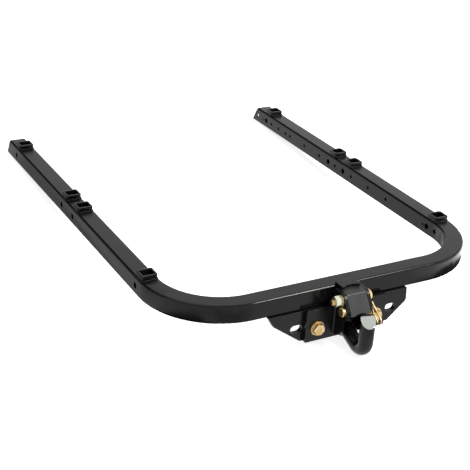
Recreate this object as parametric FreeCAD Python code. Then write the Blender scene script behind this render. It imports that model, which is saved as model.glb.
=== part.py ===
"""Pintle hitch on a bent tube frame for a snow machine: a U of square tube with low sockets on
its rails, a gusset plate under the bend, and a bolted pintle hook with a sprung latch.

Millimetres. X is across the machine, Y runs forward along the rails, Z is up. The pieces are
drawn from the datum of the frame (the middle of the hitch, the rear face and the top face of the
bent tube). The row frame's origin is the tow point, the centre of the hook's bend.
"""
import FreeCAD, Part
import math
import os
from FreeCAD import Vector

# Tow point, measured from the tube's rear face and top face
tow_reach = 40.5
tow_drop = 56.5

# Frame tube: square section, bent twice into a U, with its middle a little beside the hitch
tube_size = 25.4
tube_wall = 2.4
tube_corner = 3.0
frame_width = 475.2
frame_offset = 3.0
bend_radius = 104.4
rail_top_length = 606.0
rail_end_rake = 15.0

# Holes in the rails: a station is measured from the rear face, a setback from the front end
bolt_hole_radius = 4.25
rear_bolt_station = 116.0
middle_bolt_station = 331.5
middle_bolt_spacing = 42.5
front_bolt_setback = 33.0
rivet_hole_radius = 2.6
rivet_first = 216.0
rivet_pitch = 46.2
rivet_count = 7
front_rivet_setback = 98.5
front_rivet_pitch = 24.0
front_rivet_count = 3
pilot_hole_radius = 1.9
pilot_hole_spacing = 8.5
end_hole_radius = 3.4
rear_end_hole_station = 97.3
front_end_hole_setback = 2.0

# Sockets on top of the rails
socket_length = 20.0
socket_width = 22.2
socket_height = 6.4
socket_wall = 3.0
socket_corner = 1.6
rear_socket_station = 99.7
middle_socket_station = 313.7
middle_socket_spacing = 44.1
front_socket_setback = 45.3

# Gusset plate under the bend
plate_thickness = 6.35
plate_rear = -2.5
plate_bottom = -68.2
plate_left_reach = 111.0
plate_right_reach = 97.0
plate_left_foot = 63.0
plate_right_foot = 69.0
plate_left_shoulder = 36.0
plate_right_shoulder = 44.0
plate_corner = 6.0

# Slots for the safety chains
slot_spacing = 141.6
slot_length = 17.0
slot_width = 11.2
slot_drop = 49.5
slot_offset = 1.0

# Bolted base of the pintle bracket
base_width = 119.0
base_height = 44.4
base_thickness = 6.35
base_top = -24.0
base_corner = 1.5
base_bolt_spacing = 86.4
base_bolt_drop = 49.8
base_bolt_radius = 4.76
base_bolt_clearance = 0.4

# Ears of the bracket, which carry the latch
ear_thickness = 4.0
ear_foot = -62.5
ear_foot_reach = -15.5
ear_front_heel = (-23.5, 4.5)
ear_front_knee = (-27.0, 11.0)
ear_throat = (-25.5, -37.0)
ear_throat_cut = 5.6
ear_crown_cut = 5.5
pivot_y = -19.0
pivot_z = -11.5
pivot_boss = 10.0
pivot_radius = 3.97
pin_y = -27.6
pin_z = -22.8
pin_boss = 8.0
pin_radius = 3.97
ear_gap_to_tube = 0.4
fixed_clearance = 0.2
running_clearance = 0.08

# Latch: a folded channel between the ears
latch_width = 28.6
latch_sheet = 2.5
latch_side_clearance = 0.3
latch_bend = 4.0
latch_heel = (-5.3, -0.8)
latch_brow = (-23.6, -1.9)
latch_lip = (-39.0, -25.6)
latch_boss = 8.0
latch_arch_width = 19.0
latch_arch_rise = 2.2
seat_clearance = 0.35

# Torsion spring round the pivot bolt
spring_wire = 1.5
spring_inner_radius = 4.5
spring_pitch = 2.3
spring_whole_turns = 6
spring_seat_on_latch = -8.0
spring_seat_on_base = -6.5
spring_seat_gap = 0.1

# Hook
hook_bar_radius = 9.52
hook_bend_radius = 13.0
hook_shank_fall = 21.0
hook_tip_height = -21.6
hook_tip_bevel = 48.0
hook_root_radius = 11.0
hook_root_length = 3.0
hook_neck_length = 8.5

# Stop tab welded to the top of the tube
tab_width = 28.0
tab_thickness = 3.0
tab_rear = -12.6
tab_front = 4.6
tab_hollow = 3.2
tab_corner = 1.5

# Fasteners
base_head_af = 14.29
base_head_height = 5.2
base_nut_height = 8.3
base_washer_radius = 9.6
base_washer_hole = 5.2
base_washer_thickness = 1.7
base_thread_beyond = 3.5
pivot_head_af = 12.7
pivot_head_height = 5.3
pivot_nut_height = 6.8
pivot_nut_collar = 2.6
pivot_washer_radius = 7.85
pivot_washer_thickness = 1.5
pivot_thread_beyond = 3.4

# Lock pin and its spring clip
pin_head_radius = 6.0
pin_head_thickness = 4.6
pin_end_play = 0.3
pin_hole_from_ear = 2.6
pin_end_beyond_hole = 2.8
clip_wire_radius = 1.2
clip_hole_clearance = 0.3
clip_lean = 50.0
clip_tip = 5.0
clip_reach = 22.0
clip_loop_radius = 4.5
clip_gap_over_pin = 0.65
clip_flare_radius = 5.0
clip_flare_angle = 28.0

# Places that follow from the sizes
row_origin = Vector(0, tow_reach, tow_drop)
bolt_stations = (rear_bolt_station, middle_bolt_station, middle_bolt_station + middle_bolt_spacing,
                 rail_top_length - front_bolt_setback)
end_hole_stations = (rear_end_hole_station, rail_top_length - front_end_hole_setback)
socket_stations = (rear_socket_station, middle_socket_station,
                   middle_socket_station + middle_socket_spacing, rail_top_length - front_socket_setback)
plate_front = plate_rear + plate_thickness
base_rear = plate_rear - base_thickness
ear_inner = latch_width / 2 + latch_side_clearance
ear_outer = ear_inner + ear_thickness
hook_axis_y = -tow_reach - hook_bend_radius
clip_plane = ear_outer + pin_hole_from_ear
AXIS_X = Vector(1, 0, 0)
AXIS_Y = Vector(0, 1, 0)
AXIS_Z = Vector(0, 0, 1)


def block(x0, x1, y0, y1, z0, z1):
    return Part.makeBox(x1 - x0, y1 - y0, z1 - z0, Vector(x0, y0, z0))


def rod(radius, start, end):
    axis = end - start
    return Part.makeCylinder(radius, axis.Length, start, axis)


def side_prism(points, x0, x1):
    """A plate whose outline is given in Y and Z, between two places across the machine."""
    corners = [Vector(x0, y, z) for y, z in points]
    outline = Part.makePolygon(corners + corners[:1])
    return Part.Face(outline).extrude(Vector(x1 - x0, 0, 0))


def rear_prism(points, y0, y1):
    """A plate whose outline is given in X and Z, between its rear and front faces."""
    corners = [Vector(x, y0, z) for x, z in points]
    outline = Part.makePolygon(corners + corners[:1])
    return Part.Face(outline).extrude(Vector(0, y1 - y0, 0))


def rounded(shape, radius, direction, chosen=None):
    """Round the straight edges of a shape that run along one direction."""
    edges = []
    for edge in shape.Edges:
        if len(edge.Vertexes) != 2:
            continue
        run = edge.Vertexes[1].Point - edge.Vertexes[0].Point
        if run.Length < 1e-6 or abs(run.normalize().dot(direction)) < 0.999:
            continue
        if chosen is None or chosen(edge.CenterOfMass):
            edges.append(edge)
    return shape.makeFillet(radius, edges)


def fused(first, *others):
    return first.fuse(list(others)).removeSplitter()


def save(name, shape):
    """Move a piece from the frame's datum to the tow point and write it."""
    placed = shape.copy()
    placed.translate(row_origin)
    placed.exportStep("parts/%s.step" % name)


def tube_bar(inset):
    """One solid U, as the tube's outside (inset 0) or its hollow (inset one wall)."""
    corner = tube_corner - inset
    half = frame_width / 2
    section = tube_size - 2 * inset
    length = rail_top_length + rail_end_rake
    past_end = 0 if inset == 0 else tube_wall
    low = inset - tube_size
    middle = half - bend_radius
    arc_centre = bend_radius

    rear = block(-middle, middle, inset, inset + section, low, -inset)
    rear = rounded(rear, corner, AXIS_X)
    pieces = [rear]
    for side in (-1, 1):
        outer = side * (half - inset)
        inner = side * (half - inset - section)
        x0, x1 = min(outer, inner), max(outer, inner)
        rail = block(x0, x1, arc_centre, length + past_end, low, -inset)
        pieces.append(rounded(rail, corner, AXIS_Y))
        ring = block(x0, x1, arc_centre - 1, arc_centre, low, -inset)
        ring = rounded(ring, corner, AXIS_Y)
        end_face = [face for face in ring.Faces
                    if abs(face.CenterOfMass.y - arc_centre) < 1e-6][0]
        turned = end_face.revolve(Vector(side * middle, arc_centre, 0), AXIS_Z, -90 * side)
        pieces.append(turned)
    bar = fused(*pieces)
    bar.translate(Vector(frame_offset, 0, 0))
    return bar


def frame_tube():
    """The bent tube, open at its raked front ends, with its holes drilled."""
    tube = tube_bar(0).cut(tube_bar(tube_wall))
    half = frame_width / 2
    past = 5.0
    rake = [(rail_top_length, past), (rail_top_length, 0),
            (rail_top_length + rail_end_rake, -tube_size),
            (rail_top_length + rail_end_rake, -tube_size - past),
            (rail_top_length + rail_end_rake + past, -tube_size - past),
            (rail_top_length + rail_end_rake + past, past)]
    cuts = [side_prism(rake, frame_offset - half - past, frame_offset + half + past)]
    middle_z = -tube_size / 2
    rivets = [rivet_first + rivet_pitch * k for k in range(rivet_count)]
    front_rivet_first = rail_top_length - front_rivet_setback
    rivets += [front_rivet_first + front_rivet_pitch * k for k in range(front_rivet_count)]
    pilots = [bolt_stations[0] + pilot_hole_spacing, bolt_stations[-1] + pilot_hole_spacing]
    for side in (-1, 1):
        outside = frame_offset + side * (half + past)
        centre = frame_offset + side * (half - tube_size / 2)
        inside = frame_offset + side * (half - tube_size - past)
        for y in bolt_stations:
            cuts.append(rod(bolt_hole_radius, Vector(inside, y, middle_z), Vector(outside, y, middle_z)))
        for radius, stations in ((rivet_hole_radius, rivets), (pilot_hole_radius, pilots),
                                 (end_hole_radius, end_hole_stations)):
            for y in stations:
                cuts.append(rod(radius, Vector(inside, y, middle_z), Vector(centre, y, middle_z)))
    return tube.cut(cuts)


def rail_socket(side, station):
    """A short ring of rectangular tube standing on the rail."""
    centre = frame_offset + side * (frame_width - tube_size) / 2
    x0 = centre - socket_width / 2
    x1 = centre + socket_width / 2
    y1 = station + socket_length
    ring = rounded(block(x0, x1, station, y1, 0, socket_height), socket_corner, AXIS_Z)
    well = block(x0 + socket_wall, x1 - socket_wall, station + socket_wall, y1 - socket_wall,
                 -1, socket_height + 1)
    return ring.cut(rounded(well, socket_corner / 2, AXIS_Z))


def gusset_plate():
    """The plate under the bend, with its slots and the bolt holes of the bracket."""
    top = -tube_size
    left = -plate_left_reach
    right = plate_right_reach
    outline = [(left, top), (left + 8, -plate_left_shoulder - 3), (-plate_left_foot, plate_bottom),
               (plate_right_foot, plate_bottom), (right, -plate_right_shoulder), (right - 1.5, top)]
    plate = rear_prism(outline, plate_rear, plate_front)
    plate = rounded(plate, plate_corner, AXIS_Y, lambda centre: centre.z < top - 5)
    cuts = []
    for side in (-1, 1):
        middle = slot_offset + side * slot_spacing / 2
        half = (slot_length - slot_width) / 2
        for x in (middle - half, middle + half):
            cuts.append(rod(slot_width / 2, Vector(x, plate_rear - 1, -slot_drop),
                            Vector(x, plate_front + 1, -slot_drop)))
        cuts.append(block(middle - half, middle + half, plate_rear - 1, plate_front + 1,
                          -slot_drop - slot_width / 2, -slot_drop + slot_width / 2))
        cuts.append(base_bolt_hole(side))
    return plate.cut(cuts)


def base_bolt_hole(side):
    x = side * base_bolt_spacing / 2
    return rod(base_bolt_radius + base_bolt_clearance, Vector(x, base_rear - 1, -base_bolt_drop),
               Vector(x, plate_front + 1, -base_bolt_drop))


def bracket_base():
    """The flat foot of the pintle bracket, bolted to the gusset plate."""
    half = base_width / 2
    foot = block(-half, half, base_rear, plate_rear, base_top - base_height, base_top)
    foot = rounded(foot, base_corner, AXIS_Y)
    return foot.cut([base_bolt_hole(-1), base_bolt_hole(1)])


def ear(side):
    """One upright ear: a plate with a boss round the pivot and a nose round the lock pin."""
    x0, x1 = sorted((side * ear_inner, side * ear_outer))
    rear = -ear_gap_to_tube
    crown = pivot_z + pivot_boss
    body = [(base_rear, ear_foot), (ear_foot_reach, ear_foot),
            (ear_front_heel[0], ear_foot + ear_front_heel[1]),
            (ear_front_knee[0], ear_foot + ear_front_knee[1]), ear_throat,
            (pin_y - ear_throat_cut, pin_z - ear_throat_cut), (pin_y, pin_z), (pivot_y, pivot_z),
            (pivot_y, crown), (-ear_crown_cut, crown), (rear, crown - ear_crown_cut), (rear, base_top),
            (base_rear, base_top)]
    bridge = [(pin_y - pin_boss * 0.86, pin_z + pin_boss * 0.5), (pin_y, pin_z), (pivot_y, pivot_z),
              (pivot_y - pivot_boss * 0.83, pivot_z + pivot_boss * 0.56)]
    plate = fused(side_prism(body, x0, x1), side_prism(bridge, x0, x1),
                  rod(pivot_boss, Vector(x0, pivot_y, pivot_z), Vector(x1, pivot_y, pivot_z)),
                  rod(pin_boss, Vector(x0, pin_y, pin_z), Vector(x1, pin_y, pin_z)))
    holes = [rod(pivot_radius + fixed_clearance, Vector(x0 - 1, pivot_y, pivot_z),
                 Vector(x1 + 1, pivot_y, pivot_z)),
             rod(pin_radius + running_clearance, Vector(x0 - 1, pin_y, pin_z),
                 Vector(x1 + 1, pin_y, pin_z))]
    return plate.cut(holes)


def along(start, end, distance):
    run = math.hypot(end[0] - start[0], end[1] - start[1])
    share = distance / run
    return (start[0] + (end[0] - start[0]) * share, start[1] + (end[1] - start[1]) * share)


def latch():
    """A channel folded from sheet: roof, sloping face and two flanges that seat on the lock pin."""
    half = latch_width / 2
    heel, brow, lip = latch_heel, latch_brow, latch_lip
    face_run = math.hypot(lip[0] - brow[0], lip[1] - brow[1])
    face_in = ((brow[1] - lip[1]) / face_run, -(brow[0] - lip[0]) / face_run)
    lip_in = (lip[0] + face_in[0] * latch_sheet, lip[1] + face_in[1] * latch_sheet)
    roof_run = math.hypot(heel[0] - brow[0], heel[1] - brow[1])
    roof_in = ((heel[1] - brow[1]) / roof_run, -(heel[0] - brow[0]) / roof_run)
    heel_in = (heel[0] + roof_in[0] * latch_sheet, heel[1] + roof_in[1] * latch_sheet)
    turn = math.acos(face_in[0] * roof_in[0] + face_in[1] * roof_in[1])
    reach = latch_sheet / math.cos(turn / 2)
    middle = (face_in[0] + roof_in[0], face_in[1] + roof_in[1])
    length = math.hypot(*middle)
    brow_in = (brow[0] + middle[0] / length * reach, brow[1] + middle[1] / length * reach)

    strip = side_prism([heel, brow, lip, lip_in, brow_in, heel_in], -half, half)
    spacing = math.hypot(pin_y - pivot_y, pin_z - pivot_z)
    foot = along((pivot_y, pivot_z), (pin_y, pin_z), spacing + pin_radius + 2.8)
    flange_outline = [heel, brow, lip, lip_in, foot, (pivot_y, pivot_z),
                      (pivot_y + latch_boss, pivot_z), (heel[0], heel[1] - 5)]
    body = strip
    for side in (-1, 1):
        x0, x1 = sorted((side * (half - latch_sheet), side * half))
        body = body.fuse([side_prism(flange_outline, x0, x1),
                          rod(latch_boss, Vector(x0, pivot_y, pivot_z), Vector(x1, pivot_y, pivot_z))])
    body = body.removeSplitter()

    def at_brow(centre):
        return math.hypot(centre.y - brow[0], centre.z - brow[1]) < 0.5

    body = rounded(body, latch_bend, AXIS_X, at_brow)
    rise = latch_arch_rise
    arch_radius = (latch_arch_width ** 2 / 4 + rise ** 2) / (2 * rise)
    down = Vector(0, lip[0] - brow[0], lip[1] - brow[1]).normalize()
    inward = Vector(0, face_in[0], face_in[1])
    arch_centre = Vector(0, lip[0], lip[1]) + down * (arch_radius - rise)
    cuts = [rod(arch_radius, arch_centre - inward * 2, arch_centre + inward * (latch_sheet + 0.5)),
            rod(pivot_radius + running_clearance, Vector(-half - 1, pivot_y, pivot_z),
                Vector(half + 1, pivot_y, pivot_z)),
            rod(pin_radius + seat_clearance, Vector(-half - 1, pin_y, pin_z),
                Vector(half + 1, pin_y, pin_z))]
    return body.cut(cuts)


def latch_spring():
    """A torsion spring: one leg lifts the heel of the latch, the other stands on the base."""
    mean = spring_inner_radius + spring_wire / 2
    thick = spring_wire / 2 + spring_seat_gap
    share = (spring_seat_on_latch - latch_heel[0]) / (latch_brow[0] - latch_heel[0])
    roof = latch_heel[1] + share * (latch_brow[1] - latch_heel[1]) - latch_sheet
    on_latch = Vector(0, spring_seat_on_latch - pivot_y, roof - thick - pivot_z)
    on_base = Vector(0, spring_seat_on_base - pivot_y, base_top + thick - pivot_z)
    start = math.atan2(on_latch.z, on_latch.y) + math.acos(mean / on_latch.Length)
    end = math.atan2(on_base.z, on_base.y) - math.acos(mean / on_base.Length)
    length = spring_pitch * (spring_whole_turns + (end - start) / (2 * math.pi))

    helix = Part.Wire(Part.makeHelix(spring_pitch, length, mean).Edges)
    section = Part.Wire(Part.makeCircle(spring_wire / 2, Vector(mean, 0, 0), AXIS_Y))
    coil = helix.makePipeShell([section], True, True)
    coil.rotate(Vector(0, 0, 0), AXIS_Y, 90)
    coil.translate(Vector(-length / 2, 0, 0))
    coil.rotate(Vector(0, 0, 0), AXIS_X, math.degrees(start) + 90)
    legs = []
    for x, angle, seat in ((-length / 2, start, on_latch), (length / 2, end, on_base)):
        leaves = Vector(x, mean * math.cos(angle), mean * math.sin(angle))
        legs.append(rod(spring_wire / 2, leaves, seat + Vector(x, 0, 0)))
    spring = fused(coil, *legs)
    spring.translate(Vector(0, pivot_y, pivot_z))
    return spring


def hook():
    """A round bar: sloping shank, bend about the tow point and an upright with a bevelled tip."""
    fall = math.radians(hook_shank_fall)
    centre = Vector(0, -tow_reach, -tow_drop)
    meets = centre + Vector(0, math.sin(fall), -math.cos(fall)) * hook_bend_radius
    uphill = Vector(0, math.cos(fall), math.sin(fall))
    knee = meets + uphill * ((base_rear - hook_neck_length - meets.y) / uphill.y)
    root = knee + AXIS_Y * hook_neck_length
    slope_bar = rod(hook_bar_radius, meets, knee)
    knuckle = Part.makeSphere(hook_bar_radius, knee)
    neck = rod(hook_bar_radius, knee, root)
    ring = Part.Face(Part.Wire(Part.makeCircle(hook_bar_radius, meets, uphill)))
    bend = ring.revolve(centre, AXIS_X, -(90 + hook_shank_fall))
    foot = Vector(0, hook_axis_y, -tow_drop)
    upright = rod(hook_bar_radius, foot, Vector(0, hook_axis_y, hook_tip_height))
    collar = Part.makeCone(hook_bar_radius, hook_root_radius, hook_root_length,
                           root - AXIS_Y * hook_root_length, AXIS_Y)
    bar = fused(slope_bar, knuckle, neck, bend, upright, collar)
    bevel = math.radians(hook_tip_bevel)
    size = 3 * hook_bar_radius
    slope = [(hook_axis_y + 0.8, hook_tip_height + 0.01),
             (hook_axis_y + 0.8 - size, hook_tip_height - size * math.tan(bevel)),
             (hook_axis_y + 0.8 - size, hook_tip_height + 5), (hook_axis_y + 0.8, hook_tip_height + 5)]
    behind = block(-size, size, base_rear, base_rear + size, -4 * size, size)
    return bar.cut([behind, side_prism(slope, -size, size)])


def stop_tab():
    """The tab on the tube's top edge, hollowed where the latch turns under it."""
    half = tab_width / 2
    tab = block(-half, half, tab_rear, tab_front, 0, tab_thickness)
    tab = rounded(tab, tab_corner, AXIS_Z)
    chord = tab_width - 2 * tab_corner - 3
    radius = (chord ** 2 / 4 + tab_hollow ** 2) / (2 * tab_hollow)
    middle = Vector(0, tab_rear - radius + tab_hollow, -1)
    return tab.cut(Part.makeCylinder(radius, tab_thickness + 2, middle))


def hexagon(across_flats, height, start, direction):
    """A hexagon prism with its outer corners turned off."""
    across_corners = across_flats / math.cos(math.radians(30))
    corners = []
    for k in range(6):
        turn = math.radians(60 * k + 30)
        corners.append(Vector(math.cos(turn), math.sin(turn), 0) * (across_corners / 2))
    prism = Part.Face(Part.makePolygon(corners + corners[:1])).extrude(AXIS_Z * height)
    turned_off = (across_corners - across_flats) / 2
    body = Part.makeCylinder(across_corners / 2, height - turned_off * 0.6)
    crown = Part.makeCone(across_corners / 2, across_flats / 2, turned_off * 0.6,
                          Vector(0, 0, height - turned_off * 0.6))
    prism = prism.common(fused(body, crown))
    prism.Placement = FreeCAD.Placement(start, FreeCAD.Rotation(AXIS_Z, direction))
    return prism


def base_bolt(side):
    """Head behind the bracket, shank through both plates."""
    x = side * base_bolt_spacing / 2
    seat = base_rear - base_washer_thickness
    start = Vector(x, seat, -base_bolt_drop)
    end = plate_front + base_washer_thickness + base_nut_height + base_thread_beyond
    head = hexagon(base_head_af, base_head_height, start, -AXIS_Y)
    return fused(head, rod(base_bolt_radius, start, Vector(x, end, -base_bolt_drop)))


def washer(radius, hole, thickness, start, direction):
    ring = Part.makeCylinder(radius, thickness, start, direction)
    return ring.cut(Part.makeCylinder(hole, thickness + 2, start - direction, direction))


def base_washers(side):
    """Two flat washers, one under the head and one under the nut."""
    x = side * base_bolt_spacing / 2
    rear = washer(base_washer_radius, base_washer_hole, base_washer_thickness,
                  Vector(x, base_rear, -base_bolt_drop), -AXIS_Y)
    front = washer(base_washer_radius, base_washer_hole, base_washer_thickness,
                   Vector(x, plate_front, -base_bolt_drop), AXIS_Y)
    return Part.makeCompound([rear, front])


def base_nut(side):
    x = side * base_bolt_spacing / 2
    start = Vector(x, plate_front + base_washer_thickness, -base_bolt_drop)
    nut = hexagon(base_head_af, base_nut_height, start, AXIS_Y)
    return nut.cut(rod(base_bolt_radius, start - AXIS_Y, start + AXIS_Y * (base_nut_height + 1)))


def pivot_bolt():
    """Hex bolt through both ears and the latch, head on the right."""
    start = Vector(ear_outer, pivot_y, pivot_z)
    end = -ear_outer - pivot_washer_thickness - pivot_nut_height - pivot_nut_collar - pivot_thread_beyond
    head = hexagon(pivot_head_af, pivot_head_height, start, AXIS_X)
    return fused(head, rod(pivot_radius, start, Vector(end, pivot_y, pivot_z)))


def pivot_washer():
    return washer(pivot_washer_radius, pivot_radius + 0.3, pivot_washer_thickness,
                  Vector(-ear_outer, pivot_y, pivot_z), -AXIS_X)


def pivot_nut():
    """A lock nut with a round collar."""
    start = Vector(-ear_outer - pivot_washer_thickness, pivot_y, pivot_z)
    nut = hexagon(pivot_head_af, pivot_nut_height, start, -AXIS_X)
    collar_start = start - AXIS_X * (pivot_nut_height - 0.5)
    collar = Part.makeCylinder(pivot_head_af / 2 - 0.9, pivot_nut_collar + 0.5, collar_start, -AXIS_X)
    nut = fused(nut, collar)
    return nut.cut(rod(pivot_radius, start + AXIS_X, start - AXIS_X * 30))


def clip_direction():
    lean = math.radians(clip_lean)
    return Vector(0, -math.sin(lean), -math.cos(lean))


def lock_pin():
    """A headed pin across both ears, with a hole for its clip past the right one."""
    head_end = -ear_outer - pin_end_play
    end = clip_plane + pin_end_beyond_hole
    head = Part.makeCylinder(pin_head_radius, pin_head_thickness,
                             Vector(head_end - pin_head_thickness, pin_y, pin_z), AXIS_X)
    rim = [edge for edge in head.Edges if abs(edge.CenterOfMass.x - head_end) > 1
           and edge.Curve.TypeId == "Part::GeomCircle"]
    head = head.makeFillet(1.0, rim)
    shank = rod(pin_radius, Vector(head_end, pin_y, pin_z), Vector(end, pin_y, pin_z))
    tip = [edge for edge in shank.Edges if abs(edge.CenterOfMass.x - end) < 1e-6]
    shank = shank.makeChamfer(0.9, tip)
    middle = Vector(clip_plane, pin_y, pin_z)
    reach = clip_direction() * (pin_radius + 1)
    hole = rod(clip_wire_radius + clip_hole_clearance, middle - reach, middle + reach)
    return fused(head, shank).cut(hole)


def spring_clip():
    """A hairpin of round wire: one straight leg through the pin, one sprung leg over it."""
    u = clip_direction()
    v = Vector(0, u.z, -u.y)
    middle = Vector(clip_plane, pin_y, pin_z)

    def at(a, b):
        return middle + u * a + v * b

    over_pin = pin_radius + clip_wire_radius + clip_gap_over_pin
    loop = (clip_reach, clip_loop_radius)
    between = math.hypot(*loop)
    normal = math.atan2(loop[1], loop[0]) + math.acos((over_pin - clip_loop_radius) / between)
    side = (math.cos(normal), math.sin(normal))
    leaves_loop = (loop[0] + clip_loop_radius * side[0], loop[1] + clip_loop_radius * side[1])
    passes_pin = (over_pin * side[0], over_pin * side[1])
    flare_centre = (passes_pin[0] + clip_flare_radius * side[0], passes_pin[1] + clip_flare_radius * side[1])

    def flare(angle):
        turn = normal + math.pi - angle
        return (flare_centre[0] + clip_flare_radius * math.cos(turn),
                flare_centre[1] + clip_flare_radius * math.sin(turn))

    turned = math.radians(clip_flare_angle)
    path = Part.Wire([
        Part.LineSegment(at(-clip_tip, 0), at(clip_reach, 0)).toShape(),
        Part.Arc(at(clip_reach, 0), at(clip_reach + clip_loop_radius, clip_loop_radius),
                 at(*leaves_loop)).toShape(),
        Part.LineSegment(at(*leaves_loop), at(*passes_pin)).toShape(),
        Part.Arc(at(*passes_pin), at(*flare(turned / 2)), at(*flare(turned))).toShape()])
    section = Part.Wire(Part.makeCircle(clip_wire_radius, at(-clip_tip, 0), u))
    wire = path.makePipeShell([section], True, False)
    return wire if wire.ShapeType == "Solid" else wire.Solids[0]


def build():
    os.makedirs("parts", exist_ok=True)
    save("frame_tube", frame_tube())
    for side, name in ((-1, "left"), (1, "right")):
        for number, station in enumerate(socket_stations, 1):
            save("%s_socket_%d" % (name, number), rail_socket(side, station))
        save("%s_ear" % name, ear(side))
        save("%s_base_bolt" % name, base_bolt(side))
        save("%s_base_washers" % name, base_washers(side))
        save("%s_base_nut" % name, base_nut(side))
    save("gusset_plate", gusset_plate())
    save("bracket_base", bracket_base())
    save("hook", hook())
    save("stop_tab", stop_tab())
    save("latch", latch())
    save("latch_spring", latch_spring())
    save("pivot_bolt", pivot_bolt())
    save("pivot_washer", pivot_washer())
    save("pivot_nut", pivot_nut())
    save("lock_pin", lock_pin())
    save("spring_clip", spring_clip())


build()
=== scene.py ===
"""Snow machine pintle hitch, dressed for the camera: gloss black powder coat on a bent square
tube frame, a welded and bolted hook bracket, a sprung latch and yellow zinc fasteners.

Metres, in the row frame: +X right seen from behind, +Y forward along the rails, +Z up, with the
origin at the tow point in the hook's bend. Sizes and places on the hitch are named in
millimetres, and those of the camera and the lamps in metres.
"""

import math

import bmesh
import bpy
from mathutils import Euler, Matrix, Vector


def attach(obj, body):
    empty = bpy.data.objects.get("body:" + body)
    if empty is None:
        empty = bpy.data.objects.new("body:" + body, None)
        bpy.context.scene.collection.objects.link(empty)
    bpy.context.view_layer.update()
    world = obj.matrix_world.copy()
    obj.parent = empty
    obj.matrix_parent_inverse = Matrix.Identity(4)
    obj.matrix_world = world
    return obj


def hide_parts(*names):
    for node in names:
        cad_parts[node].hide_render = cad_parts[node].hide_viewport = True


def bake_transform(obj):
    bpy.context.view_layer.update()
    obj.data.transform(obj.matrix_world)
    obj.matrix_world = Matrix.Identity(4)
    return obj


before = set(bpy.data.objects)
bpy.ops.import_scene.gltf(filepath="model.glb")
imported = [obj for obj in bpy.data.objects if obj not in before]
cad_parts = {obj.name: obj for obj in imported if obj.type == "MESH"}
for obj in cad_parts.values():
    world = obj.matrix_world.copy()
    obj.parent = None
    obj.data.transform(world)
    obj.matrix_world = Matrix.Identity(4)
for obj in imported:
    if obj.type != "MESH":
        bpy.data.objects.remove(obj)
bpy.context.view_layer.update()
scene = bpy.context.scene

# Camera
# A long lens from behind, left of and above the hitch, level enough to show the rear face, the
# rail tops and the outer side of the left rail.
camera_stand = Vector((-0.72448, -0.93684, 0.70166))
camera_tilt = 63.9975
camera_lean = -3.0911
camera_heading = -28.3634
camera_data = bpy.data.cameras.new("photo_camera")
camera_data.lens = 84.26
camera_data.sensor_width = 36.0
camera_data.clip_end = 50.0
camera = bpy.data.objects.new("photo_camera", camera_data)
scene.collection.objects.link(camera)
camera_turn = Euler([math.radians(angle) for angle in (camera_tilt, camera_lean, camera_heading)])
camera.matrix_world = Matrix.Translation(camera_stand) @ camera_turn.to_matrix().to_4x4()
scene.camera = camera


# Bent frame tube
# One length of 1 in square steel tube, bent twice into a U and cut on a rake at its front ends,
# with drilled rivet and bolt holes in its rails. Coated in gloss black powder after welding.
def material_nodes(name):
    material = bpy.data.materials.new(name)
    material.use_nodes = True
    nodes = material.node_tree.nodes
    return material, nodes, material.node_tree.links, nodes["Principled BSDF"]


def object_noise(nodes, links, scale, detail, rough=0.5):
    """A cloudy pattern that is fixed to the piece."""
    place = nodes.new("ShaderNodeTexCoord")
    noise = nodes.new("ShaderNodeTexNoise")
    noise.inputs["Scale"].default_value = scale
    noise.inputs["Detail"].default_value = detail
    noise.inputs["Roughness"].default_value = rough
    links.new(place.outputs["Object"], noise.inputs["Vector"])
    return noise.outputs["Fac"]


def graded(nodes, links, value, stops):
    """Turn a value into a colour that runs through the given stops."""
    ramp = nodes.new("ShaderNodeValToRGB")
    while len(ramp.color_ramp.elements) < len(stops):
        ramp.color_ramp.elements.new(0.5)
    for element, (position, colour) in zip(ramp.color_ramp.elements, stops):
        element.position = position
        element.color = (*colour, 1)
    links.new(value, ramp.inputs["Fac"])
    return ramp.outputs["Color"]


def ranged(nodes, links, value, low, high):
    """Spread the middle of a cloudy pattern from a low to a high value."""
    spread = nodes.new("ShaderNodeMapRange")
    spread.inputs["From Min"].default_value = 0.3
    spread.inputs["From Max"].default_value = 0.7
    spread.inputs["To Min"].default_value = low
    spread.inputs["To Max"].default_value = high
    links.new(value, spread.inputs["Value"])
    return spread.outputs["Result"]


def roughened(nodes, links, height, depth, strength):
    """A shallow relief, such as the skin of a coat or the pores of a plating."""
    bump = nodes.new("ShaderNodeBump")
    bump.inputs["Strength"].default_value = strength
    bump.inputs["Distance"].default_value = depth
    links.new(height, bump.inputs["Height"])
    return bump.outputs["Normal"]


def powder_coat(name, tint, gloss):
    """Baked polyester powder: near black, with duller patches, haze and a faint orange peel."""
    material, nodes, links, coat = material_nodes(name)
    patches = object_noise(nodes, links, scale=22, detail=3)
    dark = (0.0030 * tint, 0.0031 * tint, 0.0031 * tint)
    pale = (0.0066 * tint, 0.0069 * tint, 0.0066 * tint)
    links.new(graded(nodes, links, patches, [(0.3, dark), (0.72, pale)]), coat.inputs["Base Color"])
    haze = object_noise(nodes, links, scale=60, detail=5, rough=0.65)
    links.new(ranged(nodes, links, haze, *gloss), coat.inputs["Roughness"])
    peel = object_noise(nodes, links, scale=750, detail=2)
    links.new(roughened(nodes, links, peel, depth=0.00004, strength=0.35), coat.inputs["Normal"])
    coat.inputs["Specular IOR Level"].default_value = 0.2
    return material


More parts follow.
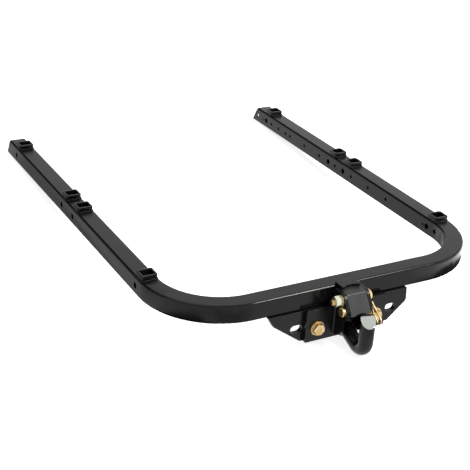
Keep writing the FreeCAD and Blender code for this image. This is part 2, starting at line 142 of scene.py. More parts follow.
def dull_upwards(material, roughness):
    """Handling and dust leave the faces that look up a little duller."""
    nodes = material.node_tree.nodes
    links = material.node_tree.links
    gloss = nodes["Principled BSDF"].inputs["Roughness"]
    facing = nodes.new("ShaderNodeNewGeometry")
    parts = nodes.new("ShaderNodeSeparateXYZ")
    links.new(facing.outputs["Normal"], parts.inputs["Vector"])
    upwards = nodes.new("ShaderNodeMapRange")
    upwards.inputs["From Min"].default_value = 0.90
    upwards.inputs["From Max"].default_value = 0.99
    links.new(parts.outputs["Z"], upwards.inputs["Value"])
    blend = nodes.new("ShaderNodeMix")
    links.new(upwards.outputs["Result"], blend.inputs["Factor"])
    links.new(gloss.links[0].from_socket, blend.inputs["A"])
    blend.inputs["B"].default_value = roughness
    links.new(blend.outputs["Result"], gloss)


def merged_copy(node, name):
    """Copy a CAD node's mesh and join its loose triangles."""
    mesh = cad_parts[node].data.copy()
    mesh.name = name
    work = bmesh.new()
    work.from_mesh(mesh)
    bmesh.ops.remove_doubles(work, verts=work.verts, dist=2e-6)
    work.to_mesh(mesh)
    work.free()
    mesh.materials.clear()
    return mesh


def smooth_but_edges(mesh, angle):
    mesh.shade_smooth()
    mesh.set_sharp_from_angle(angle=math.radians(angle))


def keep_flats_flat(thing):
    """Let the large flat faces set the shading at the edges of the small round ones."""
    modifier = thing.modifiers.new("flat_faces", "WEIGHTED_NORMAL")
    modifier.mode = "FACE_AREA"
    modifier.weight = 100
    modifier.keep_sharp = True


def piece(name, mesh, material, body, slot, *cad_nodes):
    """Hang a finished mesh on its body, in place of the CAD nodes that it stands for."""
    thing = bpy.data.objects.new(name, mesh)
    scene.collection.objects.link(thing)
    if material is not None:
        mesh.materials.append(material)
    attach(thing, body)
    if cad_nodes:
        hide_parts(*cad_nodes)
    return thing


tube_paint = powder_coat("gloss_black_tube", tint=1.0, gloss=(0.10, 0.17))
dull_upwards(tube_paint, roughness=0.28)
tube_mesh = merged_copy("frame_tube", "bent_frame_tube")
smooth_but_edges(tube_mesh, angle=32)
tube = piece("bent_frame_tube", tube_mesh, tube_paint, "frame", "tube_paint", "frame_tube")
keep_flats_flat(tube)


# Rail sockets
# Eight low rings cut from rectangular tube, stood on the rails and welded round their feet. Their
# rims keep a small rounded edge.
MM = 0.001
frame_middle = 3.0
rail_spacing = 449.8
rail_top = 56.5
socket_width = 22.2
socket_length = 20.0
socket_sizes = {"Width": socket_width * MM, "Length": socket_length * MM, "Height": 6.4 * MM,
                "Wall": 3.0 * MM, "Corner": 1.6 * MM, "Rim edge": 0.5 * MM}
socket_starts = (140.2, 354.2, 398.3, 601.2)


def node_group(name, sizes):
    """Start a tree of geometry nodes that takes points or lines, some sizes and a paint."""
    tree = bpy.data.node_groups.new(name, "GeometryNodeTree")
    tree.interface.new_socket("Geometry", in_out="INPUT", socket_type="NodeSocketGeometry")
    tree.interface.new_socket("Geometry", in_out="OUTPUT", socket_type="NodeSocketGeometry")
    for size in sizes:
        tree.interface.new_socket(size, in_out="INPUT", socket_type="NodeSocketFloat")
    tree.interface.new_socket("Paint", in_out="INPUT", socket_type="NodeSocketMaterial")
    return tree, tree.nodes.new("NodeGroupInput").outputs


def reckon(tree, operation, *values):
    """Work out one sum inside a tree from numbers and sockets."""
    node = tree.nodes.new("ShaderNodeMath")
    node.operation = operation
    for socket, value in zip(node.inputs, values):
        if isinstance(value, (int, float)):
            socket.default_value = value
        else:
            tree.links.new(value, socket)
    return node.outputs[0]


def finish_tree(tree, geometry, paint):
    """End a tree with a plain, painted mesh."""
    real = tree.nodes.new("GeometryNodeRealizeInstances")
    tree.links.new(geometry, real.inputs["Geometry"])
    painted = tree.nodes.new("GeometryNodeSetMaterial")
    tree.links.new(real.outputs["Geometry"], painted.inputs["Geometry"])
    tree.links.new(paint, painted.inputs["Material"])
    made = tree.nodes.new("NodeGroupOutput")
    tree.links.new(painted.outputs["Geometry"], made.inputs["Geometry"])


def grown(name, points, edges, tree, values):
    """Put points and lines through a node tree and keep the plain mesh that comes out."""
    seed = bpy.data.meshes.new(name + "_points")
    seed.from_pydata([tuple(part * MM for part in point) for point in points], edges, [])
    holder = bpy.data.objects.new(name + "_points", seed)
    scene.collection.objects.link(holder)
    modifier = holder.modifiers.new("grow", "NODES")
    modifier.node_group = tree
    for item in tree.interface.items_tree:
        if item.in_out == "INPUT" and item.name in values:
            modifier[item.identifier] = values[item.name]
    depsgraph = bpy.context.evaluated_depsgraph_get()
    mesh = bpy.data.meshes.new_from_object(holder.evaluated_get(depsgraph))
    mesh.name = name
    holder.modifiers.remove(modifier)
    bpy.data.objects.remove(holder)
    return mesh


def outward(mesh):
    """Merge a mesh's doubled points and turn all its faces outwards."""
    work = bmesh.new()
    work.from_mesh(mesh)
    bmesh.ops.remove_doubles(work, verts=work.verts, dist=1e-6)
    bmesh.ops.recalc_face_normals(work, faces=work.faces)
    work.to_mesh(mesh)
    work.free()
    return mesh


def socket_tree():
    """Sweep the wall of a tube round a small rectangle and stand one ring on each point."""
    tree, given = node_group("rail_socket_rings", socket_sizes)
    nodes = tree.nodes
    links = tree.links

    def rounded_box(width, height, corner, corner_steps):
        box = nodes.new("GeometryNodeCurvePrimitiveQuadrilateral")
        links.new(width, box.inputs["Width"])
        links.new(height, box.inputs["Height"])
        fillet = nodes.new("GeometryNodeFilletCurve")
        fillet.mode = "POLY"
        fillet.inputs["Count"].default_value = corner_steps
        links.new(box.outputs["Curve"], fillet.inputs["Curve"])
        links.new(corner, fillet.inputs["Radius"])
        return fillet.outputs["Curve"]

    path_width = reckon(tree, "SUBTRACT", given["Width"], given["Wall"])
    path_length = reckon(tree, "SUBTRACT", given["Length"], given["Wall"])
    sweep = nodes.new("GeometryNodeCurveToMesh")
    links.new(rounded_box(path_width, path_length, given["Corner"], 4), sweep.inputs["Curve"])
    links.new(rounded_box(given["Wall"], given["Height"], given["Rim edge"], 2),
              sweep.inputs["Profile Curve"])
    up = nodes.new("ShaderNodeCombineXYZ")
    links.new(reckon(tree, "MULTIPLY", given["Height"], 0.5), up.inputs["Z"])
    stand = nodes.new("GeometryNodeTransform")
    links.new(sweep.outputs["Mesh"], stand.inputs["Geometry"])
    links.new(up.outputs["Vector"], stand.inputs["Translation"])
    places = nodes.new("GeometryNodeInstanceOnPoints")
    links.new(given["Geometry"], places.inputs["Points"])
    links.new(stand.outputs["Geometry"], places.inputs["Instance"])
    finish_tree(tree, places.outputs["Instances"], given["Paint"])
    return tree


socket_points = []
for side in (-1, 1):
    for start in socket_starts:
        socket_points.append((frame_middle + side * rail_spacing / 2, start + socket_length / 2, rail_top))
socket_paint = powder_coat("gloss_black_sockets", tint=1.0, gloss=(0.12, 0.20))
socket_mesh = outward(grown("rail_sockets", socket_points, [], socket_tree(),
                            {"Paint": socket_paint, **socket_sizes}))
smooth_but_edges(socket_mesh, angle=40)
piece("rail_sockets", socket_mesh, None, "frame", "socket_paint",
      *["%s_socket_%d" % (side, number) for side in ("left", "right") for number in range(1, 5)])


# Weld beads on the frame
# Fillet welds run round the feet of the sockets and, in stitches, along the gusset plate. Each
# bead is a string of overlapping ripples under the powder coat.
ripple_height = 0.16
ripple_unevenness = 0.12
ripple_steps = 5.0


def bead_tree():
    """Swell a round string along each line into the ripples of a weld."""
    tree, given = node_group("weld_bead", ("Bead radius", "Ripple pitch", "Ripple height", "Unevenness"))
    nodes = tree.nodes
    links = tree.links
    curve = nodes.new("GeometryNodeMeshToCurve")
    links.new(given["Geometry"], curve.inputs["Mesh"])
    steps = nodes.new("GeometryNodeResampleCurve")
    steps.mode = "LENGTH"
    links.new(curve.outputs["Curve"], steps.inputs["Curve"])
    links.new(reckon(tree, "DIVIDE", given["Ripple pitch"], ripple_steps), steps.inputs["Length"])
    run = nodes.new("GeometryNodeSplineParameter")
    phase = reckon(tree, "FRACT", reckon(tree, "DIVIDE", run.outputs["Length"], given["Ripple pitch"]))
    arch = reckon(tree, "SINE", reckon(tree, "MULTIPLY", phase, math.pi))
    ripple = reckon(tree, "MULTIPLY", reckon(tree, "POWER", arch, 0.6), given["Ripple height"])
    place = nodes.new("GeometryNodeInputPosition")
    uneven = nodes.new("ShaderNodeTexNoise")
    uneven.inputs["Scale"].default_value = 320.0
    uneven.inputs["Detail"].default_value = 1.0
    links.new(place.outputs["Position"], uneven.inputs["Vector"])
    drift = reckon(tree, "MULTIPLY", reckon(tree, "SUBTRACT", uneven.outputs["Fac"], 0.5),
                   given["Unevenness"])
    swell = reckon(tree, "ADD", reckon(tree, "ADD", 0.92, drift), ripple)
    ring = nodes.new("GeometryNodeCurvePrimitiveCircle")
    ring.mode = "RADIUS"
    ring.inputs["Resolution"].default_value = 10
    links.new(given["Bead radius"], ring.inputs["Radius"])
    sweep = nodes.new("GeometryNodeCurveToMesh")
    sweep.inputs["Fill Caps"].default_value = True
    links.new(steps.outputs["Curve"], sweep.inputs["Curve"])
    links.new(ring.outputs["Curve"], sweep.inputs["Profile Curve"])
    links.new(swell, sweep.inputs["Scale"])
    finish_tree(tree, sweep.outputs["Mesh"], given["Paint"])
    return tree


weld_tree = bead_tree()
weld_paint = powder_coat("gloss_black_welds", tint=1.0, gloss=(0.26, 0.40))


def weld_beads(name, runs, slot, radius, pitch):
    """Lay one bead along each run of points."""
    points = []
    edges = []
    for run in runs:
        first = len(points)
        points.extend(run)
        edges.extend((first + step, first + step + 1) for step in range(len(run) - 1))
    sizes = {"Bead radius": radius * MM, "Ripple pitch": pitch * MM, "Ripple height": ripple_height,
             "Unevenness": ripple_unevenness, "Paint": weld_paint}
    mesh = outward(grown(name, points, edges, weld_tree, sizes))
    mesh.shade_smooth()
    return piece(name, mesh, None, "frame", slot)


corner_cut = 1.5
socket_runs = []
for x, y, z in socket_points:
    left = x - socket_width / 2
    right = x + socket_width / 2
    rear = y - socket_length / 2
    front = y + socket_length / 2
    foot = [(left, rear + corner_cut), (left + corner_cut, rear),
            (right - corner_cut, rear), (right, rear + corner_cut),
            (right, front - corner_cut), (right - corner_cut, front),
            (left + corner_cut, front), (left, front - corner_cut)]
    socket_runs.append([(*corner, z) for corner in foot + foot[:1]])
weld_beads("socket_welds", socket_runs, "socket_paint", radius=0.8, pitch=1.1)

plate_front_face = 44.35
tube_bottom = 31.1
plate_stitches = ((-106, -72), (-18, 18), (64, 92))
plate_runs = []
for stitch in plate_stitches:
    plate_runs.append([(x, plate_front_face, tube_bottom) for x in stitch])
weld_beads("plate_welds", plate_runs, "plate_paint", radius=2.2, pitch=2.2)


# Gusset plate
# A 1/4 in steel plate under the bend, flame-cut to a shallow boat shape with two level slots for
# the safety chains, welded to the tube and coated with it.
plate_gloss = (0.22, 0.34)


def softened(node, material, body, slot, edge, angle=34):
    """Copy a node, round its sharp edges a little and let its curved faces shade smoothly."""
    mesh = merged_copy(node, node + "_dressed")
    work = bmesh.new()
    work.from_mesh(mesh)
    bmesh.ops.dissolve_limit(work, angle_limit=math.radians(0.4), verts=work.verts, edges=work.edges)
    work.to_mesh(mesh)
    work.free()
    mesh.shade_smooth()
    thing = piece(node + "_dressed", mesh, material, body, slot, node)
    bevel = thing.modifiers.new("edge", "BEVEL")
    bevel.width = edge * MM
    bevel.segments = 3
    bevel.limit_method = "ANGLE"
    bevel.angle_limit = math.radians(angle)
    keep_flats_flat(thing)


plate_paint = powder_coat("gloss_black_plate", tint=1.2, gloss=plate_gloss)
softened("gusset_plate", plate_paint, "frame", "plate_paint", edge=0.6)


# Hook bracket
# A flat foot and two upright ears of steel plate. The ears are welded to the foot down their
# outer sides, and the foot is bolted to the gusset plate.
foot_rear_face = 31.65
ear_outer_face = 18.6
ear_weld_low = -5.0
ear_weld_high = 31.0
base_paint = powder_coat("gloss_black_base", tint=1.2, gloss=plate_gloss)
ear_paint = powder_coat("gloss_black_ears", tint=1.1, gloss=plate_gloss)
softened("bracket_base", base_paint, "frame", "base_paint", edge=0.7)
softened("left_ear", ear_paint, "frame", "ear_paint", edge=0.6)
softened("right_ear", ear_paint, "frame", "ear_paint", edge=0.6)
ear_runs = []
for x in (-ear_outer_face, ear_outer_face):
    ear_runs.append([(x, foot_rear_face, z) for z in (ear_weld_low, ear_weld_high)])
weld_beads("ear_welds", ear_runs, "base_paint", radius=2.1, pitch=2.1)


# Hook
# A 3/4 in round bar, forged to a shank, a bend and an upright, welded to the foot of the bracket
# and coated black. Its tip is ground bare to one slanting facet, turned a little to the left.
tip_point = Vector((0.0, -13.0, 31.75)) * MM
tip_normal = Vector((-0.18, -0.75, 1.0)).normalized()
tip_top = 34.9
tip_root = 20.0
upright_front = -3.0
chip_depth = 0.9 * MM
paint_edge = (0.05 * MM, 0.15 * MM)


def hook_finish():
    """Black powder coat below the tip's facet, and bare ground steel on it."""
    material, nodes, links, coat = material_nodes("gloss_black_hook")
    patches = object_noise(nodes, links, scale=26, detail=3)
    paint = graded(nodes, links, patches, [(0.3, (0.0035, 0.0035, 0.0036)), (0.7, (0.008, 0.008, 0.008))])
    place = nodes.new("ShaderNodeTexCoord")
    from_tip = nodes.new("ShaderNodeVectorMath")
    from_tip.operation = "SUBTRACT"
    from_tip.inputs[1].default_value = tip_point
    links.new(place.outputs["Object"], from_tip.inputs[0])
    depth = nodes.new("ShaderNodeVectorMath")
    depth.operation = "DOT_PRODUCT"
    depth.inputs[1].default_value = tip_normal
    links.new(from_tip.outputs["Vector"], depth.inputs[0])
    chips = object_noise(nodes, links, scale=900, detail=3)
    ragged = reckon(material.node_tree, "MULTIPLY_ADD", chips, chip_depth, depth.outputs["Value"])
    bare = nodes.new("ShaderNodeMapRange")
    bare.inputs["From Min"].default_value = paint_edge[0]
    bare.inputs["From Max"].default_value = paint_edge[1]
    links.new(ragged, bare.inputs["Value"])
    scratches = nodes.new("ShaderNodeTexWave")
    scratches.wave_type = "BANDS"
    scratches.bands_direction = "X"
    scratches.inputs["Scale"].default_value = 900
    scratches.inputs["Distortion"].default_value = 6
    scratches.inputs["Detail"].default_value = 3
    links.new(place.outputs["Object"], scratches.inputs["Vector"])
    steel = graded(nodes, links, scratches.outputs["Fac"],
                   [(0.1, (0.42, 0.44, 0.415)), (0.9, (0.51, 0.53, 0.50))])
    colour = nodes.new("ShaderNodeMix")
    colour.data_type = "RGBA"
    colour_sockets = {socket.identifier: socket for socket in colour.inputs}
    links.new(bare.outputs["Result"], colour_sockets["Factor_Float"])
    links.new(paint, colour_sockets["A_Color"])
    links.new(steel, colour_sockets["B_Color"])
    mixed = next(socket for socket in colour.outputs if socket.identifier == "Result_Color")
    links.new(mixed, coat.inputs["Base Color"])
    links.new(bare.outputs["Result"], coat.inputs["Metallic"])
    haze = object_noise(nodes, links, scale=70, detail=4)
    gloss = nodes.new("ShaderNodeMix")
    links.new(bare.outputs["Result"], gloss.inputs["Factor"])
    links.new(ranged(nodes, links, haze, low=0.20, high=0.30), gloss.inputs["A"])
    gloss.inputs["B"].default_value = 0.07
    links.new(gloss.outputs["Result"], coat.inputs["Roughness"])
    peel = object_noise(nodes, links, scale=700, detail=2)
    links.new(roughened(nodes, links, peel, depth=0.00005, strength=0.4), coat.inputs["Normal"])
    coat.inputs["Specular IOR Level"].default_value = 0.22
    return material


def grind_tip(mesh):
    """Square the tip off above its bevel, then cut it along one slanting plane and close it."""
    work = bmesh.new()
    work.from_mesh(mesh)
    for vert in work.verts:
        if vert.co.z > tip_root * MM and vert.co.y < upright_front * MM:
            vert.co.z = tip_top * MM
    everything = work.verts[:] + work.edges[:] + work.faces[:]
    bmesh.ops.bisect_plane(work, geom=everything, dist=1e-6, plane_co=tip_point, plane_no=tip_normal,
                           clear_outer=True)
    bmesh.ops.holes_fill(work, edges=[edge for edge in work.edges if edge.is_boundary])
    bmesh.ops.recalc_face_normals(work, faces=work.faces)
    work.to_mesh(mesh)
    work.free()


hook_mesh = merged_copy("hook", "hook_dressed")
grind_tip(hook_mesh)
smooth_but_edges(hook_mesh, angle=32)
piece("hook_dressed", hook_mesh, hook_finish(), "frame", "hook_steel", "hook")


# Stop tab
# A small plate welded to the tube's top edge, hollowed at the rear where the latch swings under
# it, so that the latch's roof comes to rest against it.
tab_half_width = 12
tab_front_edge = 45.1
tab_paint = powder_coat("gloss_black_tab", tint=1.1, gloss=plate_gloss)
softened("stop_tab", tab_paint, "frame", "tab_paint", edge=0.5)
tab_run = [(x, tab_front_edge, rail_top) for x in (-tab_half_width, tab_half_width)]
weld_beads("tab_weld", [tab_run], "tab_paint", radius=1.6, pitch=1.8)


# Latch
# Sheet steel folded to a channel: a short roof, a sloping face over the throat and two flanges
# that turn on the pivot bolt and seat on the lock pin. Its coat is greyer and duller.
latch_paint = powder_coat("gloss_black_latch", tint=8.0, gloss=(0.28, 0.42))
softened("latch", latch_paint, "latch", "latch_paint", edge=0.8)


# Latch spring
# Spring wire wound round the pivot bolt, with one leg under the latch's roof and one on the
# bracket. It is oiled, not painted, and its coils wind up as the latch turns.
def spring_wire_finish():
    material, nodes, links, wire = material_nodes("oiled_spring_wire")
    stain = object_noise(nodes, links, scale=350, detail=4)
    links.new(graded(nodes, links, stain, [(0.3, (0.20, 0.19, 0.18)), (0.7, (0.34, 0.33, 0.32))]),
              wire.inputs["Base Color"])
    wire.inputs["Metallic"].default_value = 1.0
    links.new(ranged(nodes, links, stain, low=0.30, high=0.46), wire.inputs["Roughness"])
    drawn = object_noise(nodes, links, scale=2500, detail=2)
    links.new(roughened(nodes, links, drawn, depth=0.00002, strength=0.4), wire.inputs["Normal"])
    return material


spring_mesh = merged_copy("latch_spring", "latch_spring_dressed")
spring_mesh.materials.append(spring_wire_finish())
smooth_but_edges(spring_mesh, angle=40)
spring = bpy.data.objects.new("latch_spring_dressed", spring_mesh)
scene.collection.objects.link(spring)
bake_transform(spring)
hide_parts("latch_spring")


# Pivot bolt, washer and nut
# A 5/16 in hex bolt through both ears and the latch, head on the right, with a flat washer and a
# hex nut on the left. All are steel with zinc plating, yellow on the bolt and paler on the nut.
gold_film = [(0.28, (0.36, 0.20, 0.07)), (0.46, (0.58, 0.42, 0.20)), (0.60, (0.72, 0.57, 0.34)),
             (0.78, (0.66, 0.55, 0.40))]
pale_film = [(0.30, (0.74, 0.50, 0.46)), (0.45, (0.78, 0.70, 0.58)), (0.58, (0.66, 0.70, 0.54)),
             (0.74, (0.80, 0.80, 0.70))]
pivot_forward = 21.5
pivot_height = 45.0
pivot_radius = 3.97
pivot_washer_thickness = 1.6
around = 48
turns = [2 * math.pi * step / around for step in range(around)]
face_share = 0.95
chamfer_slope = 0.55
pole_radius = 0.001


def yellow_zinc(name, film=gold_film, cloudiness=140):
    material, nodes, links, metal = material_nodes(name)
    tarnish = object_noise(nodes, links, cloudiness, detail=4, rough=0.6)
    links.new(graded(nodes, links, tarnish, film), metal.inputs["Base Color"])
    metal.inputs["Metallic"].default_value = 1.0
    cloud = object_noise(nodes, links, scale=420, detail=4)
    links.new(ranged(nodes, links, cloud, low=0.26, high=0.42), metal.inputs["Roughness"])
    pores = object_noise(nodes, links, scale=2600, detail=3)
    links.new(roughened(nodes, links, pores, depth=0.00003, strength=0.35), metal.inputs["Normal"])
    return material


def hex_radius(across_flats, turn):
    """How far a hexagon's side lies from its middle, in one direction."""
    return across_flats / 2 / math.cos((turn % (math.pi / 3)) - math.pi / 6)


def joined_rings(name, rings, closed):
    """Skin a stack of rings, each with a radius and a height for every direction around."""
    work = bmesh.new()
    rows = []
    for ring in rings:
        row = []
        for (radius, height), turn in zip(ring, turns):
            place = (radius * math.cos(turn) * MM, radius * math.sin(turn) * MM, height * MM)
            row.append(work.verts.new(place))
        rows.append(row)
    next_rows = rows[1:] + rows[:1] if closed else rows[1:]
    for low, high in zip(rows, next_rows):
        for step in range(around):
            after = (step + 1) % around
            work.faces.new((low[step], low[after], high[after], high[step]))
    bmesh.ops.remove_doubles(work, verts=work.verts, dist=3e-6)
    bmesh.ops.recalc_face_normals(work, faces=work.faces)
    mesh = bpy.data.meshes.new(name)
    work.to_mesh(mesh)
    work.free()
    return mesh


def hex_bolt(name, across_flats, head_height, radius, shank, threaded, pitch):
    """Head below zero, shank upwards, its last part cut with a real thread."""
    core = radius - 0.6 * pitch
    end_taper = 0.88
    underside_gap = 0.4
    face_radius = across_flats / 2 * face_share
    corner = [hex_radius(across_flats, turn) for turn in turns]
    rings = [[(pole_radius, -head_height)] * around,
             [(face_radius, -head_height)] * around,
             [(reach, -head_height + (reach - face_radius) * chamfer_slope) for reach in corner],
             [(reach, -underside_gap) for reach in corner],
             [(face_radius, 0.0)] * around,
             [(radius, 0.0)] * around,
             [(radius, shank - threaded)] * around]
    steps = 6
    levels = int(threaded / pitch * steps)
    for level in range(levels + 1):
        height = shank - threaded + level * pitch / steps
        taper = end_taper + (1 - end_taper) * min(1.0, (shank - height) / pitch)
        ring = []
        for turn in turns:
            along = level / steps + turn / (2 * math.pi)
            tooth = abs(2 * (along % 1.0) - 1)
            ring.append(((core + (radius - core) * tooth) * taper, height))
        rings.append(ring)
    rings.append([(core * 0.86, shank)] * around)
    rings.append([(pole_radius, shank)] * around)
    return joined_rings(name, rings, closed=False)


def hex_nut(name, across_flats, height, radius):
    """Seat at zero, free end upwards, both ends chamfered and the bore countersunk."""
    countersink = 0.5
    face_radius = across_flats / 2 * face_share
    corner = [hex_radius(across_flats, turn) for turn in turns]
    rings = [[(face_radius, 0.0)] * around,
             [(reach, (reach - face_radius) * chamfer_slope) for reach in corner],
             [(reach, height - (reach - face_radius) * chamfer_slope) for reach in corner],
             [(face_radius, height)] * around,
             [(radius + countersink, height)] * around,
             [(radius, height - countersink)] * around,
             [(radius, countersink)] * around,
             [(radius + countersink, 0.0)] * around]
    return joined_rings(name, rings, closed=True)


def seated(mesh, seat, direction, turn):
    """Stand a mesh drawn along +Z on its seat, along another direction, and shade its curves."""
    aim = Vector((0, 0, 1)).rotation_difference(Vector(direction)).to_matrix().to_4x4()
    spin = Matrix.Rotation(math.radians(turn), 4, "Z")
    mesh.transform(Matrix.Translation(Vector(seat) * MM) @ aim @ spin)
    mesh.update()
    smooth_but_edges(mesh, angle=28)


pivot_zinc = yellow_zinc("yellow_zinc_pivot")
pivot_mesh = hex_bolt("pivot_bolt_dressed", across_flats=12.7, head_height=5.3, radius=pivot_radius,
                      shank=51.5, threaded=14.0, pitch=1.411)
seated(pivot_mesh, (ear_outer_face, pivot_forward, pivot_height), (-1, 0, 0), turn=30)
piece("pivot_bolt_dressed", pivot_mesh, pivot_zinc, "frame", "pivot_zinc", "pivot_bolt")
softened("pivot_washer", pivot_zinc, "frame", "pivot_zinc", edge=0.25)
nut_zinc = yellow_zinc("yellow_zinc_nut", pale_film, 90)
nut_mesh = hex_nut("pivot_nut_dressed", across_flats=12.2, height=8.2, radius=pivot_radius)
nut_seat = -ear_outer_face - pivot_washer_thickness
seated(nut_mesh, (nut_seat, pivot_forward, pivot_height), (-1, 0, 0), turn=18)
piece("pivot_nut_dressed", nut_mesh, nut_zinc, "frame", "pivot_zinc", "pivot_nut")


# Base bolts, washers and nuts
# Two 3/8 in hex bolts pass from the rear through the bracket's foot and the gusset plate, with a
# flat washer under each head and each nut. Yellow zinc plating.
base_bolt_offset = 43.2
base_bolt_height = 6.7
base_head_seat = 29.95
bolt_zinc = yellow_zinc("yellow_zinc_bolts")
washer_zinc = yellow_zinc("yellow_zinc_washers")
for side, x, turn in (("left", -base_bolt_offset, 8), ("right", base_bolt_offset, 22)):
    bolt_mesh = hex_bolt(side + "_base_bolt_dressed", across_flats=14.29, head_height=5.2, radius=4.76,
                         shank=24.4, threaded=13.0, pitch=1.588)
    seated(bolt_mesh, (x, base_head_seat, base_bolt_height), (0, 1, 0), turn)
    piece(side + "_base_bolt_dressed", bolt_mesh, bolt_zinc, "frame", "bolt_zinc", side + "_base_bolt")
    softened(side + "_base_washers", washer_zinc, "frame", "washer_zinc", edge=0.25)
    softened(side + "_base_nut", bolt_zinc, "frame", "bolt_zinc", edge=0.3, angle=25)


# Lock pin and spring clip
# A headed 5/16 in pin through both ears, under the latch's flanges, kept by a hairpin of round
# spring wire through its right end. Both are zinc plated.
pin_zinc = yellow_zinc("yellow_zinc_pin")
clip_zinc = yellow_zinc("yellow_zinc_clip")
softened("lock_pin", pin_zinc, "lock_pin", "pin_zinc", edge=0.2)
clip_mesh = merged_copy("spring_clip", "spring_clip_dressed")
smooth_but_edges(clip_mesh, angle=40)
piece("spring_clip_dressed", clip_mesh, clip_zinc, "spring_clip", "clip_zinc", "spring_clip")


# Studio
# A white floor on which the hook and the rail ends rest, strip lamps behind to the right, a
# soft lamp above and a pale room. Only the gloss coat's reflections see the floor's glow, with
# its painted shadows and painted bright patches, and the dark card in the room. The eye sees
# plain white and the hitch's soft shadow.
hook_underside = -22.6
floor_clearance = 0.2
rail_end_forward = 661.5
rail_end_bottom = 31.0
floor_slope = (rail_end_bottom - hook_underside) / rail_end_forward
floor_left, floor_right = -1500, 1500
floor_rear, floor_front = -1300, 1900
floor_corners = []
for x, y in ((floor_left, floor_rear), (floor_right, floor_rear),
             (floor_right, floor_front), (floor_left, floor_front)):
    floor_corners.append((x * MM, y * MM, (hook_underside + floor_slope * y - floor_clearance) * MM))
floor_mesh = bpy.data.meshes.new("studio_floor")
floor_mesh.from_pydata(floor_corners, [], [(0, 1, 2, 3)])
floor = bpy.data.objects.new("studio_floor", floor_mesh)
scene.collection.objects.link(floor)
floor_paint, nodes, links, surface = material_nodes("studio_white")
surface.inputs["Roughness"].default_value = 1.0
surface.inputs["Specular IOR Level"].default_value = 0.0
surface.inputs["Emission Color"].default_value = (1, 1, 1, 1)
floor_rays = nodes.new("ShaderNodeLightPath").outputs
# Glossy rays see no lit floor here, only a glow: a painted reflection of a lit floor, with painted shadows
# and painted bright patches laid on it below.
links.new(graded(nodes, links, floor_rays["Is Glossy Ray"], [(0.0, (0.85, 0.85, 0.85)), (1.0, (0, 0, 0))]),
          surface.inputs["Base Color"])
floor_place = nodes.new("ShaderNodeTexCoord").outputs["Object"]


def floor_patch(under, outline, middle, half_size, soft, level, turn=0):
    """Lay a patch of another brightness, with a soft edge, over what lies under it."""
    tree = floor_paint.node_tree
    where = nodes.new("ShaderNodeMapping")
    where.vector_type = "TEXTURE"
    where.inputs["Location"].default_value = (middle[0] * MM, middle[1] * MM, 0)
    where.inputs["Rotation"].default_value = (0, 0, math.radians(turn))
    where.inputs["Scale"].default_value = (half_size[0] * MM, half_size[1] * MM, 1000)
    links.new(floor_place, where.inputs["Vector"])
    reach = nodes.new("ShaderNodeVectorMath")
    links.new(where.outputs["Vector"], reach.inputs[0])
    if outline == "round":
        reach.operation = "LENGTH"
        outwards = reach.outputs["Value"]
    else:
        reach.operation = "ABSOLUTE"
        parts = nodes.new("ShaderNodeSeparateXYZ")
        links.new(reach.outputs["Vector"], parts.inputs["Vector"])
        outwards = reckon(tree, "MAXIMUM", parts.outputs["X"], parts.outputs["Y"])
    inside = nodes.new("ShaderNodeMapRange")
    inside.interpolation_type = "SMOOTHSTEP"
    inside.inputs["From Min"].default_value = 1 + soft
    inside.inputs["From Max"].default_value = 1 - soft
    links.new(outwards, inside.inputs["Value"])
    blend = nodes.new("ShaderNodeMix")
    links.new(inside.outputs["Result"], blend.inputs["Factor"])
    if isinstance(under, float):
        blend.inputs["A"].default_value = under
    else:
        links.new(under, blend.inputs["A"])
    blend.inputs["B"].default_value = level
    return blend.outputs["Result"]


# Painted reflection: a painted bright patch of lit floor beyond the right bend, and painted shade beyond
# the right rail and under its inner edge.
open_floor = 1.35
painted_floor_reflection = floor_patch(open_floor, "round", (335, 5), (130, 140), soft=0.30, level=2.60)
painted_floor_reflection = floor_patch(painted_floor_reflection, "square", (340, 475), (110, 285), soft=0.08, level=0.30)
painted_floor_reflection = floor_patch(painted_floor_reflection, "square", (215, 300), (22, 150), soft=0.30, level=0.60)
# Painted shade of the left rail: dim beyond that rail, dimmer further out, and dimmest right under it.
painted_floor_reflection = floor_patch(painted_floor_reflection, "square", (-330, 615), (120, 445), soft=0.08, level=0.66)
painted_floor_reflection = floor_patch(painted_floor_reflection, "square", (-375, 640), (120, 400), soft=0.06, level=0.38, turn=-4)
painted_floor_reflection = floor_patch(painted_floor_reflection, "square", (-231, 420), (30, 230), soft=0.15, level=0.36)
# Painted contact shadow, nearly black, under both bends, and painted shade a little dimmer behind the left
# half of the rear tube.
painted_floor_reflection = floor_patch(painted_floor_reflection, "round", (230, 55), (78, 110), soft=0.08, level=0.06, turn=-20)
painted_floor_reflection = floor_patch(painted_floor_reflection, "round", (-247, 66), (64, 90), soft=0.06, level=0.04)
painted_floor_reflection = floor_patch(painted_floor_reflection, "round", (-165, -82), (85, 35), soft=0.50, level=0.75)
painted_reflection_glow = reckon(floor_paint.node_tree, "MULTIPLY", floor_rays["Is Glossy Ray"], painted_floor_reflection)
floor_seen = 0.80
links.new(reckon(floor_paint.node_tree, "MULTIPLY_ADD", floor_rays["Is Camera Ray"], floor_seen, painted_reflection_glow),
          surface.inputs["Emission Strength"])
floor_mesh.materials.append(floor_paint)

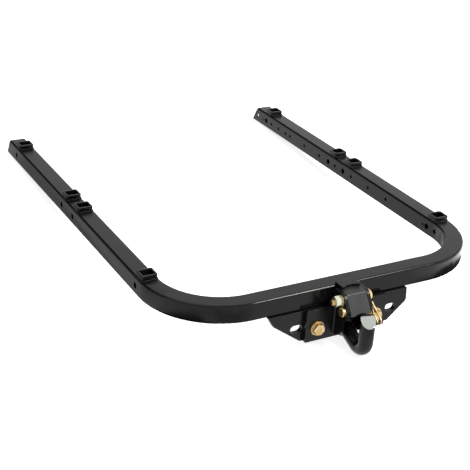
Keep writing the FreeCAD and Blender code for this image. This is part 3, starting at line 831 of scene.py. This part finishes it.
room_light = 0.36
room_seen = 0.72
card_direction = (-0.437, 0.780, 0.447)
world = bpy.data.worlds.new("studio_room")
world.use_nodes = True
nodes = world.node_tree.nodes
links = world.node_tree.links
room = nodes["Background"]
room_rays = nodes.new("ShaderNodeLightPath").outputs
strength = room_light
for ray in ("Is Camera Ray", "Is Glossy Ray", "Is Transmission Ray"):
    strength = reckon(world.node_tree, "MULTIPLY_ADD", room_rays[ray], room_seen, strength)
links.new(strength, room.inputs["Strength"])
direction = nodes.new("ShaderNodeTexCoord")
towards = nodes.new("ShaderNodeVectorMath")
towards.operation = "DOT_PRODUCT"
towards.inputs[1].default_value = card_direction
links.new(direction.outputs["Generated"], towards.inputs[0])
dark_card = nodes.new("ShaderNodeMapRange")
dark_card.interpolation_type = "SMOOTHSTEP"
dark_card.inputs["From Min"].default_value = 0.64
dark_card.inputs["From Max"].default_value = 0.93
links.new(towards.outputs["Value"], dark_card.inputs["Value"])
links.new(graded(nodes, links, dark_card.outputs["Result"],
                 [(0.0, (0.99, 1.0, 0.99)), (1.0, (0.06, 0.06, 0.06))]), room.inputs["Color"])
scene.world = world


def softbox(name, place, aim, along, width, length, power):
    """A rectangular lamp whose length lies along one direction."""
    lamp = bpy.data.lights.new(name, "AREA")
    lamp.shape = "RECTANGLE"
    lamp.size = width
    lamp.size_y = length
    lamp.energy = power
    thing = bpy.data.objects.new(name, lamp)
    scene.collection.objects.link(thing)
    back = (Vector(place) - Vector(aim)).normalized()
    across = Vector(along).cross(back).normalized()
    turn = Matrix((across, back.cross(across), back)).transposed().to_4x4()
    thing.matrix_world = Matrix.Translation(Vector(place)) @ turn


strip_aim = (0, 0.04, 0.05)
strip_lean = (0, 0.73, 0.483)
softbox("rear_strip", (1.13, -1.13, 1.82), strip_aim, strip_lean, width=0.26, length=1.3, power=42)
softbox("side_strip", (1.43, -1.07, 1.75), strip_aim, strip_lean, width=0.2, length=1.3, power=10)
softbox("top_softbox", (-0.2, 0.9, 2.6), (0, 0.35, 0), (0, 1, 0), width=2.2, length=2.2, power=16)

scene.view_settings.view_transform = "Standard"
